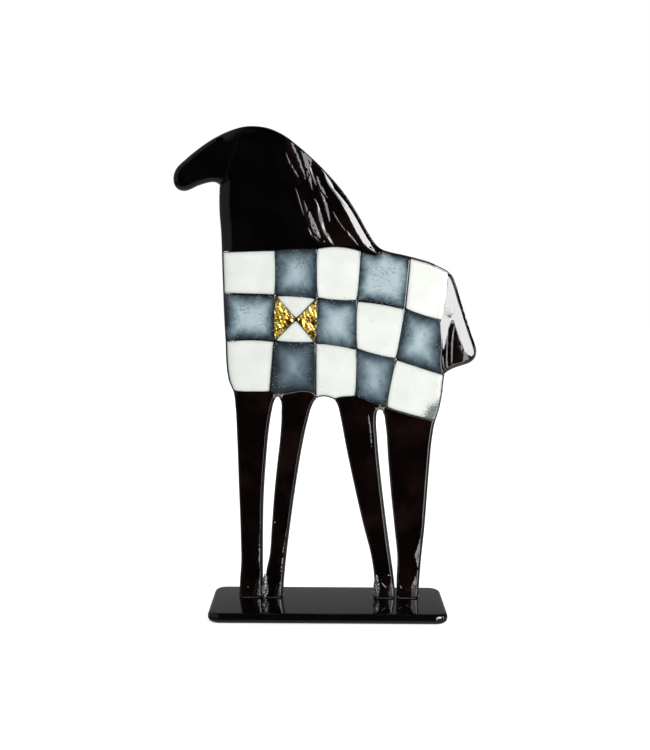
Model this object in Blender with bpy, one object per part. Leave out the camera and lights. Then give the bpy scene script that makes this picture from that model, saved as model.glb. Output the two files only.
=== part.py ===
"""A kiln-formed glass horse on a polished glass base plate.

The horse is a flat slab of two layers of cut glass. The back layer is black sheet. The front
layer is the black head, neck, tail and legs and a chequered blanket of opal tiles, one of which is
quartered into gold-leaf and white triangles. Raised strands lie on the neck and the tail, and
clear adhesive holds the feet on the plate.

Frame: +X runs from the muzzle to the tail, +Y to the back of the figure, +Z up. The origin is
the centre of the plate's underside. Outlines are in millimetres in the X-Z plane.
"""

import math

import bmesh
import bpy
from mathutils import Vector

MM = 0.001

# ---------------------------------------------------------------- driving dimensions, millimetres

BASE_LENGTH = 150.0
BASE_DEPTH = 60.0
BASE_THICKNESS = 6.5
BASE_CORNER_RADIUS = 8.0
BASE_EDGE_RADIUS = 2.8

FIGURE_FRONT = 4.0         # Y of the figure's front face
FIGURE_BACK = 10.5         # Y of its back face
LAYER_PLANE = 7.5          # Y of the plane between the two layers
SEAM_GAP = 0.3             # between neighbouring pieces of glass
FRONT_LAYER_INSET = 0.8    # how far the front layer stops short of the back layer's outline
FRONT_EDGE_ROUND = 1.6
BACK_EDGE_ROUND = 1.0
STRAND_HEIGHT = 1.6
STRAND_INSET = 1.4         # how far the strands stay inside the outline
STRAND_EDGE_ROUND = 0.5
SOLE = BASE_THICKNESS + SEAM_GAP
CURVE_STEP = 5.0           # longest straight run on a smooth stretch of outline
CURVE_TURN = math.radians(18)    # and the most that it turns between two points

FAR = 130.0                # a cell's open side, well outside the figure
CELL_OVERHANG = 20.0       # how far a cell reaches in front of the figure and behind it
SMOOTH_ANGLE = math.radians(40)

# ------------------------------------------------------------------------------ the horse's outline
# Smooth stretches, which meet at corners. They run from the throat down the chest, round the
# legs, up the rump, round the tail, along the back and the crest, and round the muzzle.

CHEST = [(-69.5, 271.2), (-69.8, 256), (-68.8, 242), (-68.1, 220), (-67.1, 190), (-66.2, 172),
         (-65.4, 155.5), (-63.8, 146.5), (-61.2, 140.5), (-60, 131), (-59, 112), (-57.9, 80),
         (-56.7, 45), (-56.5, 28), (-57.2, 18), (-57.6, SOLE)]
FORE_ARCH = [(-42, SOLE), (-42.2, 38), (-41.6, 75), (-40.2, 97), (-38.2, 118), (-36.4, 129),
             (-34.8, 135), (-32.9, 137.6), (-31, 135), (-30.5, 128), (-31.2, 112), (-33.2, 93),
             (-35, 74.5), (-36.6, 52), (-38.2, 32), (-40, 23.5), (-40.6, SOLE)]
BELLY = [(-29, SOLE), (-28.6, 15), (-27.2, 31), (-24.4, 55), (-20.6, 83), (-16.9, 106),
         (-13.5, 122), (-10.6, 132), (-7.9, 136.5), (-4, 137.7), (0.2, 137.1), (3.6, 135.5),
         (5.6, 132), (7, 126.5), (10.9, 106.7), (16, 83), (22.7, 54.3), (28.6, 31), (30.2, 19),
         (29.9, SOLE)]
HIND_ARCH = [(44.3, SOLE), (43, 19.5), (40.2, 38.5), (36.5, 65), (33.4, 90), (31.3, 111),
             (30.6, 123), (31.3, 128.4), (33, 130.5), (34.9, 127.6), (36.3, 120.5), (38.4, 97),
             (40.5, 75), (43.2, 51), (45.2, 31), (44.9, 19), (45, SOLE)]
RUMP = [(59.2, SOLE), (59.7, 16), (60.8, 33), (62.5, 52), (64, 76), (65.3, 96.5), (66.5, 111),
        (68.2, 121.5), (70.4, 128.5), (71.9, 136), (72.9, 144), (73.5, 150), (74, 152.9)]
TAIL = [(74, 152.9), (76.6, 154.9), (83.8, 157.9), (90, 160.2), (92.9, 162.9), (94, 167.2),
        (92.9, 172), (91, 177), (87.1, 188.4), (83.1, 200.4), (79.6, 211), (77.5, 215.4),
        (74.5, 218.3), (69.5, 220.9), (63.5, 223.7), (56, 225.9), (46, 228.4), (37, 230.3),
        (33.2, 231.6), (29.6, 234.2), (25.4, 240), (17.8, 253), (10.2, 264.7), (2, 274.7),
        (-8.7, 285.6), (-19.5, 295), (-30.5, 303), (-39, 306.5), (-47, 307.7), (-54.5, 307.3),
        (-63, 304.8), (-73, 300), (-83.9, 292.6), (-91.4, 286.4), (-96.6, 281.2), (-98.5, 275.8),
        (-97.5, 270.3), (-94.8, 267.9), (-91, 267.4), (-84, 270.3), (-77.5, 272.4), (-72.5, 272.9),
        (-69.5, 271.2)]
HORSE = [CHEST, FORE_ARCH, BELLY, HIND_ARCH, RUMP, TAIL]

# ------------------------------------------------------------------- seams between pieces of glass

HEAD_SEAM = [(-53, 320), (-56.4, 306.3), (-58.9, 297.4), (-62.7, 286.4), (-67.4, 273.4),
             (-73, 267.8)]
TAIL_SEAM = [(75.8, 240), (74.5, 216.4), (72.8, 198.1), (70.3, 187.1), (71.7, 170.9), (71.5, 158),
             (72.6, 152.8), (76, 149.5)]
FORE_GAP = [(-32.8, 139), (-34.1, 125), (-38.2, 75), (-41.1, 24), (-41.3, 0)]
HIND_GAP = [(33, 133), (33.6, 120), (38, 75), (42.2, 40), (43.9, 20), (44.65, 0)]

# The blanket's grid: where its row lines, top to bottom, cross its column lines, left to right.
GRID = [
    [(-67.5, 229.6), (-34.5, 230.8), (-8.3, 231.9), (19.5, 230.6), (50.4, 226)],
    [(-66.3, 203.2), (-34.4, 202.4), (-7.8, 200.7), (17.3, 199.1), (47.7, 194.2), (70.3, 187.1)],
    [(-65.8, 173.1), (-35, 173.3), (-8.7, 172.5), (17.3, 168.7), (42.4, 162.4), (72.6, 152.8)],
    [(-60.5, 141.1), (-37.6, 140.9), (-8.6, 139.5), (16.9, 138.4), (36.7, 131.6), (66.5, 123.2)],
]
INSET_CENTRE = (-21.2, 187.2)
INSET_TILE = (1, 1)        # the grid place of the quartered tile
TILE_ROWS = 3
TILE_COLUMNS = 5
# How far a row line rises between two crossings, by row line and tile.
ROW_RISE = {(0, 2): 2.1, (1, 3): 0.9, (2, 0): 1.2}
# Where the mane's tip hangs over the fourth tile of the top row, on past the outline.
MANE_TIP = [(19.5, 230.6), (23.9, 229.2), (29, 228.2), (31.5, 229.7), (34.5, 234), (38, 240)]
# The blanket's lower edge, where it isn't straight, left to right under each tile.
LOWER_EDGE = {
    1: [(-37.6, 140.9), (-32.8, 139), (-24.8, 140.7), (-16.4, 142.1), (-11, 141.1), (-8.6, 139.5)],
    2: [(-8.6, 139.5), (-7, 134), (0, 133), (3.5, 136.6), (8, 137.6), (16.9, 138.4)],
    3: [(16.9, 138.4), (29.4, 134.2), (33, 133), (36.7, 131.6)],
    4: [(36.7, 131.6), (51.8, 126.7), (66.5, 123.2), (90, 118)],
}
ARC_STEPS = 6

# Joints of the back layer. The legs' strips tuck up behind the blanket's lowest row.
NECK_JOINT = 266
FORELEG_JOINT = 152
HINDLEG_JOINT = [(4, 151), (33, 146.2), (90, 136.6)]
BELLY_FORE = -8            # the body's sheet comes down to the belly between these two X
BELLY_HIND = 4
BELLY_LOW = 133
FORE_JOINT_TOP = (-32.9, FORELEG_JOINT)
TAIL_JOINT = [(76.8, 240), (75.6, 215), (73.6, 190), (73.4, 160), (73.3, 152.9), (77, 149)]

# Lines between the raised strands of the mane, from the neck's side outwards.
MANE_LINES = [
    [(-29, 300.7), (-24, 283.5), (-18.4, 261.9), (-12.7, 242.2), (-7.6, 233)],
    [(-24, 283.5), (-17.1, 265), (-11.4, 244.7), (-5.1, 233)],
    [(-28, 302), (-20.9, 283.5), (-14.6, 266.8), (-7.7, 246.5), (-1.4, 233)],
    [(-23.4, 299), (-17.1, 281.7), (-10.8, 268.1), (-3.3, 248.4), (3.6, 233)],
    [(-17.8, 294), (-12.1, 281.7), (-5.8, 270.6), (2.4, 253.3), (11.2, 232.2)],
    [(-10, 289), (-5.2, 275.5), (2.4, 262.5), (10.6, 247.1), (18.8, 230.9)],
]
MANE_FOOT = 233.6          # the strands end just above the blanket
OUTER_STRAND_FOOT = [(26.5, 229.8), (31, 231)]    # the outermost one ends on the mane's tip

# Lines between the raised strands of the tail, from the rump outwards.
TAIL_LINES = [
    [(73.6, 204), (72.2, 187.5), (73.2, 171), (73.1, 159), (74.8, 150)],
    [(76, 200), (75.3, 177), (75.2, 150)],
    [(79.2, 202), (78.7, 181), (78.4, 150)],
    [(81.5, 199), (83, 177.5), (85.7, 167), (86.2, 150)],
]
TAIL_STRAND_SIDE = [(FAR, 206), (FAR, 150)]

BEAD_HEIGHT = 15.5         # of the adhesive bead beside a foot
BEAD_WIDTH = 5.6
BEAD_DEPTH = 4.4
BEAD_ROUND_SIDES = 12
FORE_BEAD_X = -40.6
HIND_BEAD_X = 31.6

# ---------------------------------------------------------------------------------------- materials

LEG_NAMES = ["foreleg_leading", "foreleg_trailing", "hindleg_leading", "hindleg_trailing"]

# Colour and roughness
MATERIALS = {
    "black_glass": ((0.012, 0.008, 0.009), 0.05),
    "white_opal_glass": ((0.84, 0.86, 0.82), 0.08),
    "grey_opal_glass": ((0.33, 0.40, 0.45), 0.10),
    "gold_leaf": ((0.83, 0.58, 0.16), 0.28),
    "clear_adhesive": ((0.62, 0.60, 0.58), 0.15),
}
METALLIC = {"gold_leaf": 1.0}


def make_material(name):
    colour, roughness = MATERIALS[name]
    material = bpy.data.materials.new(name)
    material.use_nodes = True
    shader = material.node_tree.nodes["Principled BSDF"]
    shader.inputs["Base Color"].default_value = (*colour, 1.0)
    shader.inputs["Roughness"].default_value = roughness
    shader.inputs["Metallic"].default_value = METALLIC.get(name, 0.0)
    return material


# ------------------------------------------------------------------------------- outlines and cells

def smooth(stretch):
    """Points along a smooth curve through a stretch's own points."""
    points = [Vector(p) for p in stretch]
    lengths = [(b - a).length for a, b in zip(points, points[1:])]
    runs = [(b - a) / d for a, b, d in zip(points, points[1:], lengths)]
    slopes = [None] * len(points)
    for i in range(1, len(points) - 1):
        before, after = lengths[i - 1], lengths[i]
        slopes[i] = (runs[i - 1] * after + runs[i] * before) / (before + after)
    slopes[0] = runs[0] * 2 - slopes[1]
    slopes[-1] = runs[-1] * 2 - slopes[-2]
    curve = []
    for i, length in enumerate(lengths):
        turn = slopes[i].angle(slopes[i + 1])
        count = max(1, math.ceil(length / CURVE_STEP), math.ceil(turn / CURVE_TURN))
        for k in range(count):
            curve.append(hermite(points[i], points[i + 1], slopes[i] * length,
                                 slopes[i + 1] * length, k / count))
    curve.append(points[-1])
    return curve


def hermite(start, end, leave, arrive, t):
    square, cube = t * t, t * t * t
    return (start * (2 * cube - 3 * square + 1) + leave * (cube - 2 * square + t)
            + end * (3 * square - 2 * cube) + arrive * (cube - square))


def closed_outline(stretches):
    """One closed outline from smooth stretches, with an end that meets the next start kept once."""
    points = [p for stretch in stretches for p in smooth(stretch)]
    return [p for i, p in enumerate(points) if (p - points[i - 1]).length > SEAM_GAP]


def signed_area(outline):
    pairs = zip(outline, outline[1:] + outline[:1])
    return sum(a.x * b.y - b.x * a.y for a, b in pairs) / 2


def inset(outline, distance):
    """The outline moved inwards by a distance, with its corners kept sharp."""
    turn = 1 if signed_area(outline) > 0 else -1
    moved = []
    for i, here in enumerate(outline):
        before = (here - outline[i - 1]).normalized()
        after = (outline[(i + 1) % len(outline)] - here).normalized()
        inwards = [Vector((-d.y, d.x)) * turn for d in (before, after)]
        middle = (inwards[0] + inwards[1]).normalized()
        moved.append(here + middle * distance / max(0.35, middle.dot(inwards[0])))
    return moved


def bowed(start, end, rise):
    """Points from start to just before end, on an arc that rises between them."""
    if not rise:
        return [start]
    a, b = Vector(start), Vector(end)
    up = Vector((0, rise))
    shares = [k / ARC_STEPS for k in range(ARC_STEPS)]
    return [tuple(a.lerp(b, s) + up * 4 * s * (1 - s)) for s in shares]


# ------------------------------------------------------------------------------------ making solids

def new_collection(name):
    collection = bpy.data.collections.new(name)
    bpy.context.scene.collection.children.link(collection)
    return collection


def prism(name, outline, front, back, collection):
    """A flat solid with an outline in X and Z, between two values of Y, as a mesh object."""
    curve = bpy.data.curves.new(name, "CURVE")
    curve.dimensions = "2D"
    curve.fill_mode = "BOTH"
    curve.extrude = (back - front) / 2 * MM
    spline = curve.splines.new("POLY")
    spline.points.add(len(outline) - 1)
    for point, (x, z) in zip(spline.points, outline):
        point.co = (x * MM, z * MM, 0, 1)
    spline.use_cyclic_u = True
    drawn = bpy.data.objects.new(name + "_curve", curve)
    drawn.location = (0, (front + back) / 2 * MM, 0)
    drawn.rotation_euler = (math.radians(90), 0, 0)
    collection.objects.link(drawn)
    bpy.context.view_layer.update()
    evaluated = drawn.evaluated_get(bpy.context.evaluated_depsgraph_get())
    mesh = bpy.data.meshes.new_from_object(evaluated)
    mesh.name = name
    weld(mesh)
    solid = bpy.data.objects.new(name, mesh)
    solid.matrix_world = drawn.matrix_world.copy()
    collection.objects.link(solid)
    bpy.data.objects.remove(drawn)
    return solid


def weld(mesh):
    """Welds a flat curve's caps to its sides, and makes each cap one face."""
    work = bmesh.new()
    work.from_mesh(mesh)
    bmesh.ops.remove_doubles(work, verts=work.verts, dist=0.00001)
    for side in (1, -1):
        cap = [f for f in work.faces if f.normal.z * side > 0.9]
        bmesh.ops.dissolve_faces(work, faces=cap)
    bmesh.ops.recalc_face_normals(work, faces=work.faces)
    work.to_mesh(mesh)
    work.free()


def round_rim(solid, side, radius, segments):
    """Rounds the rim of a prism's front face (side 1) or back face (side -1)."""
    work = bmesh.new()
    work.from_mesh(solid.data)
    edge_plane = max(v.co.z * side for v in work.verts)
    rim = [e for e in work.edges
           if all(abs(v.co.z * side - edge_plane) < 1e-6 for v in e.verts)
           and e.calc_face_angle(0) > 0.5]
    bmesh.ops.bevel(work, geom=rim, offset=radius * MM, segments=segments, profile=0.5,
                    affect="EDGES", clamp_overlap=False)
    work.to_mesh(solid.data)
    work.free()


def make_cutter(name, outline, front, back, side, radius, segments, collection):
    cutter = prism(name, outline, front, back, collection)
    round_rim(cutter, side, radius, segments)
    cutter.data.shade_smooth()
    cutter.data.set_sharp_from_angle(angle=SMOOTH_ANGLE)
    cutter.hide_render = True
    cutter.display_type = "WIRE"
    return cutter


def make_piece(name, cell, layer, material, collection):
    """The part of a layer that lies in one cell, half a seam inside the cell's border."""
    cell_outline = inset([Vector(p) for p in cell], SEAM_GAP / 2)
    piece = prism(name, cell_outline, FIGURE_FRONT - CELL_OVERHANG, FIGURE_BACK + CELL_OVERHANG,
                  collection)
    cut = piece.modifiers.new("layer", "BOOLEAN")
    cut.operation = "INTERSECT"
    cut.solver = "EXACT"
    cut.object = layer
    piece.data.materials.append(material)


# ---------------------------------------------------------------------------------------- the pieces

def make_base(material, collection):
    bpy.ops.mesh.primitive_cube_add(size=1)
    base = bpy.context.object
    base.name = base.data.name = "base_plate"
    base.scale = (BASE_LENGTH * MM, BASE_DEPTH * MM, BASE_THICKNESS * MM)
    base.location = (0, 0, BASE_THICKNESS / 2 * MM)
    bpy.ops.object.transform_apply(location=False, rotation=False, scale=True)
    work = bmesh.new()
    work.from_mesh(base.data)
    upright = [e for e in work.edges
               if abs(e.verts[0].co.z - e.verts[1].co.z) > BASE_THICKNESS / 2 * MM]
    bmesh.ops.bevel(work, geom=upright, offset=BASE_CORNER_RADIUS * MM, segments=7, profile=0.5,
                    affect="EDGES")
    rims = [e for e in work.edges
            if abs(e.verts[0].co.z - e.verts[1].co.z) < 1e-7 and e.calc_face_angle(0) > 0.5]
    bmesh.ops.bevel(work, geom=rims, offset=BASE_EDGE_RADIUS * MM, segments=4, profile=0.5,
                    affect="EDGES")
    work.to_mesh(base.data)
    work.free()
    for owner in base.users_collection:
        owner.objects.unlink(base)
    collection.objects.link(base)
    base.data.materials.append(material)
    base.data.shade_smooth()
    base.data.set_sharp_from_angle(angle=SMOOTH_ANGLE)


def row_line(row, column):
    """A row line along one tile, from its left end to its right end."""
    if (row, column) == (0, 3):
        return MANE_TIP + [(51.5, 240), GRID[0][4]]
    if (row, column) == (0, 4):
        return [GRID[0][4], (51.5, 240)] + TAIL_SEAM[:4]
    if row == 3 and column in LOWER_EDGE:
        return LOWER_EDGE[column]
    start, end = GRID[row][column], GRID[row][column + 1]
    return bowed(start, end, ROW_RISE.get((row, column), 0)) + [end]


def tile_cell(row, column):
    """The border of one tile, clockwise from its top left corner."""
    if (row, column) == (1, 4):
        return [GRID[1][4]] + TAIL_SEAM[3:7] + [GRID[2][4]]
    if (row, column) == (2, 4):
        return [GRID[2][4]] + TAIL_SEAM[6:] + [(90, 140)] + LOWER_EDGE[4][::-1]
    cell = row_line(row, column) + row_line(row + 1, column)[::-1]
    if column == 0:
        cell += [(-FAR, GRID[row + 1][0][1]), (-FAR, GRID[row][0][1])]
    return without_repeats(cell)


def without_repeats(cell):
    return [p for i, p in enumerate(cell) if p != cell[i - 1]]


def make_blanket(layer, white, grey, gold, collection):
    for row in range(TILE_ROWS):
        for column in range(TILE_COLUMNS):
            if (row, column) == INSET_TILE:
                make_inset_tile(layer, white, gold, collection)
                continue
            is_white = (row + column) % 2 == 0
            colour = "white" if is_white else "grey"
            name = f"tile_{colour}_row{row + 1}_col{column + 1}"
            make_piece(name, tile_cell(row, column), layer, white if is_white else grey,
                       collection)


def make_inset_tile(layer, white, gold, collection):
    row, column = INSET_TILE
    top_left, top_right = GRID[row][column], GRID[row][column + 1]
    low_left, low_right = GRID[row + 1][column], GRID[row + 1][column + 1]
    quarters = {
        "inset_white_top": (top_left, top_right, white),
        "inset_gold_right": (top_right, low_right, gold),
        "inset_white_bottom": (low_right, low_left, white),
        "inset_gold_left": (low_left, top_left, gold),
    }
    for name, (start, end, material) in quarters.items():
        make_piece(name, [start, end, INSET_CENTRE], layer, material, collection)


def make_front_layer(layer, black, collection):
    """The black pieces around the blanket."""
    blanket_top = [(-FAR, GRID[0][0][1])] + GRID[0][:2] + row_line(0, 2) + MANE_TIP[1:]
    head = HEAD_SEAM + [(-FAR, 267.8), (-FAR, 320)]
    neck = HEAD_SEAM[::-1] + [(FAR, 320), (FAR, 240)] + blanket_top[::-1] + [(-FAR, 260)]
    tail = TAIL_SEAM + [(FAR, 149.5), (FAR, 240)]
    leg_tops = [
        [(-FAR, 141.4), GRID[3][0]] + LOWER_EDGE[1][:2],
        LOWER_EDGE[1][1:] + [(-7, 134)],
        LOWER_EDGE[2][2:] + LOWER_EDGE[3][1:3],
        LOWER_EDGE[3][2:] + LOWER_EDGE[4][1:],
    ]
    for name, cell in (("head_front", head), ("neck_front", neck), ("tail_front", tail)):
        make_piece(name, cell, layer, black, collection)
    make_legs("front", leg_tops, layer, black, collection)


def make_back_layer(layer, black, collection):
    """Black sheet behind the front layer."""
    head = [(-FAR, NECK_JOINT), (FAR, NECK_JOINT), (FAR, 320), (-FAR, 320)]
    body = ([(-FAR, NECK_JOINT), (-FAR, FORELEG_JOINT), (BELLY_FORE, FORELEG_JOINT),
             (BELLY_FORE, BELLY_LOW), (BELLY_HIND, BELLY_LOW)] + HINDLEG_JOINT
            + [(90, 149)] + TAIL_JOINT[::-1] + [(FAR, 240), (FAR, NECK_JOINT)])
    tail = TAIL_JOINT + [(FAR, 149), (FAR, 240)]
    leg_tops = [
        [(-FAR, FORELEG_JOINT), FORE_JOINT_TOP, FORE_GAP[0]],
        [FORE_GAP[0], FORE_JOINT_TOP, (BELLY_FORE, FORELEG_JOINT), (BELLY_FORE, BELLY_LOW)],
        [(BELLY_HIND, BELLY_LOW)] + HINDLEG_JOINT[:2] + HIND_GAP[:1],
        HIND_GAP[:1] + HINDLEG_JOINT[1:],
    ]
    for name, cell in (("head_back", head), ("body_back", body), ("tail_back", tail)):
        make_piece(name, cell, layer, black, collection)
    make_legs("back", leg_tops, layer, black, collection)


def make_legs(layer_name, tops, layer, black, collection):
    """The four legs of one layer, from their top borders and the lines that part them."""
    outside_left = [(-FAR, 100), (-FAR, 0)]
    under_belly = [(0, 100), (0, 0)]
    outside_right = [(FAR, 100), (FAR, 0)]
    borders = [outside_left, FORE_GAP[1:], under_belly, HIND_GAP[1:], outside_right]
    for name, top, left, right in zip(LEG_NAMES, tops, borders, borders[1:]):
        make_piece(f"{name}_{layer_name}", top + right + left[::-1], layer, black, collection)


def clipped_above(line, height):
    """The upper part of a strand line, down to a height."""
    kept = [line[0]]
    for above, below in zip(line, line[1:]):
        if below[1] < height:
            share = (above[1] - height) / (above[1] - below[1])
            kept.append(tuple(Vector(above).lerp(Vector(below), share)))
            break
        kept.append(below)
    return kept


def make_mane(layer, black, collection):
    """Strands between the mane's lines. The first is a short lens on the neck's side."""
    lines = [clipped_above(line, MANE_FOOT) for line in MANE_LINES]
    neck_line, second_line = lines[:2]
    cells = [neck_line[1:] + second_line[:0:-1],
             [neck_line[0], neck_line[1]] + second_line[1:] + lines[2][::-1]]
    for left, right in zip(lines[2:], lines[3:]):
        cells.append(left + right[::-1])
    cells.append(MANE_LINES[-1] + OUTER_STRAND_FOOT + [(FAR, 260), (FAR, 330)])
    for number, cell in enumerate(cells, 1):
        make_piece(f"mane_strand_{number}", without_repeats(cell), layer, black, collection)


def make_tail_strands(layer, black, collection):
    borders = TAIL_LINES + [TAIL_STRAND_SIDE]
    for number, (left, right) in enumerate(zip(borders, borders[1:]), 1):
        make_piece(f"tail_strand_{number}", left + right[::-1], layer, black, collection)


def make_bead(name, x, material, collection):
    """A bead of adhesive in front of a foot: half a cone that widens down to the plate."""
    work = bmesh.new()
    bmesh.ops.create_cone(work, cap_ends=True, segments=BEAD_ROUND_SIDES,
                          radius1=BEAD_WIDTH / 2 * MM, radius2=BEAD_WIDTH / 6 * MM,
                          depth=BEAD_HEIGHT * MM)
    whole = work.verts[:] + work.edges[:] + work.faces[:]
    bmesh.ops.bisect_plane(work, geom=whole, dist=0.00001, plane_co=(0, 0, 0), plane_no=(0, 1, 0),
                           clear_outer=True)
    bmesh.ops.holes_fill(work, edges=[e for e in work.edges if e.is_boundary])
    bmesh.ops.recalc_face_normals(work, faces=work.faces)
    depth_share = 2 * BEAD_DEPTH / BEAD_WIDTH
    for vertex in work.verts:
        vertex.co.y *= depth_share
    mesh = bpy.data.meshes.new(name)
    work.to_mesh(mesh)
    work.free()
    bead = bpy.data.objects.new(name, mesh)
    bead.location = (x * MM, (FIGURE_FRONT - SEAM_GAP) * MM, (SOLE + BEAD_HEIGHT / 2) * MM)
    mesh.materials.append(material)
    collection.objects.link(bead)


def main():
    for old in list(bpy.data.objects):
        bpy.data.objects.remove(old)
    parts = new_collection("glass_horse")
    cutters = new_collection("cutters")
    black = make_material("black_glass")
    white = make_material("white_opal_glass")
    grey = make_material("grey_opal_glass")
    gold = make_material("gold_leaf")
    adhesive = make_material("clear_adhesive")

    outline = closed_outline(HORSE)
    half_gap = SEAM_GAP / 2
    back_layer = make_cutter("back_layer", outline, LAYER_PLANE + half_gap, FIGURE_BACK, -1,
                             BACK_EDGE_ROUND, 1, cutters)
    front_layer = make_cutter("front_layer", inset(outline, FRONT_LAYER_INSET), FIGURE_FRONT,
                              LAYER_PLANE - half_gap, 1, FRONT_EDGE_ROUND, 2, cutters)
    strand_back = FIGURE_FRONT - SEAM_GAP
    strand_layer = make_cutter("strand_layer", inset(outline, STRAND_INSET),
                               strand_back - STRAND_HEIGHT, strand_back, 1, STRAND_EDGE_ROUND, 1,
                               cutters)

    make_base(black, parts)
    make_back_layer(back_layer, black, parts)
    make_front_layer(front_layer, black, parts)
    make_blanket(front_layer, white, grey, gold, parts)
    make_mane(strand_layer, black, parts)
    make_tail_strands(strand_layer, black, parts)
    make_bead("adhesive_bead_fore", FORE_BEAD_X, adhesive, parts)
    make_bead("adhesive_bead_hind", HIND_BEAD_X, adhesive, parts)


main()
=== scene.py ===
"""Looks of the kiln-formed glass horse: its glass, gold leaf and adhesive, the light, the camera.

The horse's glass is drawn from the flat faces of its own CAD nodes. Each outline found there is
smoothed, filled with a fine sheet of triangles and given a soft, fire-polished front or a satin
back. Outlines and heights are in millimetres until a mesh is made.
"""
import math

import bmesh
import bpy
import numpy as np
from mathutils import Matrix, Vector
from mathutils.geometry import delaunay_2d_cdt


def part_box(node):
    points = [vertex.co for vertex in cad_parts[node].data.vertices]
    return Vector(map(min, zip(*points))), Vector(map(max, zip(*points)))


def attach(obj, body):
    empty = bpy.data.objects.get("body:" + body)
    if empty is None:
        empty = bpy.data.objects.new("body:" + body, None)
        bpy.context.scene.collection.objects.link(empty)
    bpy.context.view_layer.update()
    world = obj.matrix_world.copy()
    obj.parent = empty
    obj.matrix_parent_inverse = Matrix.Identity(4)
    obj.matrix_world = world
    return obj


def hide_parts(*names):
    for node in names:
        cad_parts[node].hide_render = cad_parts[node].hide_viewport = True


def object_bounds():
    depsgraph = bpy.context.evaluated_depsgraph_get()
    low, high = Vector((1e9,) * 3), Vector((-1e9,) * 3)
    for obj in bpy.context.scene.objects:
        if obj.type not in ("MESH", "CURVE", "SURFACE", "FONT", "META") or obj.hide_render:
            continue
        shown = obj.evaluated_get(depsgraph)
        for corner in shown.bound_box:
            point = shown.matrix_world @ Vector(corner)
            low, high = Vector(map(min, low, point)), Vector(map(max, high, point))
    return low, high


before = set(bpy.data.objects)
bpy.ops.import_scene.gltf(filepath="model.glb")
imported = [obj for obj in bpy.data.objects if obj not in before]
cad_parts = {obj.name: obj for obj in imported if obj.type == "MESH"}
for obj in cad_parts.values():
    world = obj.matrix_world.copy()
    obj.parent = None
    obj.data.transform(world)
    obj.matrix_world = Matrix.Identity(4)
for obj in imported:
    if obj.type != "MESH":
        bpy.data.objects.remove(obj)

MM = 0.001
CAD_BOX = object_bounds()

# ------------------------ the shapes

def in_mm(length):
    """A length from the frame, in millimetres."""
    return round(length / MM, 2)


FRONT_Y = in_mm(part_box("neck_front")[0][1])
BACK_Y = in_mm(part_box("body_back")[1][1])
PLATE_TOP = in_mm(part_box("base_plate")[1][2])
LAYER_Y = 7.5  # where the two layers of glass meet
WIDEST_Y = 8.7  # where the slab's rounded edge reaches furthest out

# How far in from the outline the front's rounding reaches, and the values of X or Z (or of -X in
# the LEFT_OF ranges) over which one reach gives way to another.
LEG_ROUND = 1.8
BODY_ROUND = 8.0
BODY_FROM_Z = (136, 154)
MANE_ROUND = 6.5  # above MANE_ABOVE_Z, except at the chest
MANE_ABOVE_Z = 200
CHEST_LEFT_OF = (10, 30)
THIN_ROUND = 3.0  # at the head, the crest and the rump
HEAD_LEFT_OF = (66, 72)
HEAD_FROM_Z = (256, 268)
CREST_FROM_X = (-55, -40)
CREST_FROM_Z = (276, 288)
RUMP_FROM_X = (24, 34)
RUMP_FROM_Z = (196, 210)
TAIL_SIDE_FROM_X = (50, 60)
MANE_TOP_ROUND = 1.3  # where the mane starts
MANE_TOP_FROM_X = (-36, -26)
MANE_TOP_FROM_Z = (269, 281)
TAIL_ROUND = 2.0  # of the tail's chamfer
TAIL_FROM_X = (66, 69.5)
TAIL_FROM_Z = (149, 152)
# Lines on the tail, from their foot up: where its slope back starts, and the sides of the hollow
# low down in it.
TAIL_START = [(72.2, 168.5), (71.2, 173.0), (70.7, 180.0), (69.9, 188.0), (70.8, 196.0),
              (71.6, 204.0), (72.4, 212.0)]
HOLLOW_LEFT = [(72.2, 168.5), (73.4, 171.5), (74.6, 177.0), (75.2, 181.5), (76.1, 184.2),
               (76.8, 187.0), (77.9, 191.0)]
HOLLOW_RIGHT = [(85.6, 158.0), (85.6, 168.4), (84.5, 171.4), (82.8, 175.4), (81.5, 179.2),
                (80.5, 182.2), (79.8, 184.2), (79.2, 187.0), (77.9, 191.0)]
TAIL_SLOPE = 0.242  # how much it goes back for each millimetre to the right
HOLLOW_SLOPE = 0.015  # the same in the hollow
HOLLOW_TOP_Z = (184.5, 190.0)
TIP_SLOPE = 0.115  # and below the pale lobe to the right of the hollow
LOBE_FOOT_Z = (166.5, 176.5)
LOBE_FOOT_RISE = 0.45  # how much lower the lobe's foot is for each millimetre to the right
SLOPE_FROM_Z = (142, 152)
MOST_SLOPED = 4.2
BACK_ROUND = 1.6  # reach of the back's rounding
LEDGE = 0.8  # how far the front layer stops short of the back layer's outline
PLATE_CORNER = 8.0  # radii of the plate's corners and its edges
PLATE_EDGE = 2.8
SOLE_Z = PLATE_TOP + 0.06  # the feet stand in a film of adhesive

CORNER_ANGLE = math.radians(32)
STRAIGHT_SIDE = 30.0  # sides of an outline that are longer than this stay straight
SHORT_STEP = 0.35  # and shorter ones than this are dropped
TILE_CORNER = 1.0  # how far from a sharp corner its rounding starts
FRONT_CORNER = 0.5
STRAND_CORNER = 0.6
BACK_CORNER = 0.05
OUTLINE_STEP = 0.8
# How far in from an outline its rings of points are.
FRONT_RINGS = (0.12, 0.3, 0.6, 1.05, 1.7, 2.5, 3.5)
RIM_RINGS = (0.12, 0.3, 0.55, LEDGE, 1.0)
BACK_RINGS = (0.12, 0.3, 0.6, 1.0, 1.6)
STRAND_RINGS = (0.15, 0.4, 0.8, 1.3)
GRID_STEP = 1.25
FINE_STEP = 0.36  # where folds need a finer grid
RELAXING_ROUNDS = 6

SEAM_GROOVE = 0.12  # how deep the surface dips at a seam
SEAM_REACH = 0.9  # and how far in from it
FAINT_GROOVE = 0.05
FAINTLY_GROOVED = ("head_front", "neck_front", "tail_front", "tile_grey_row2_col5")

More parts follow.
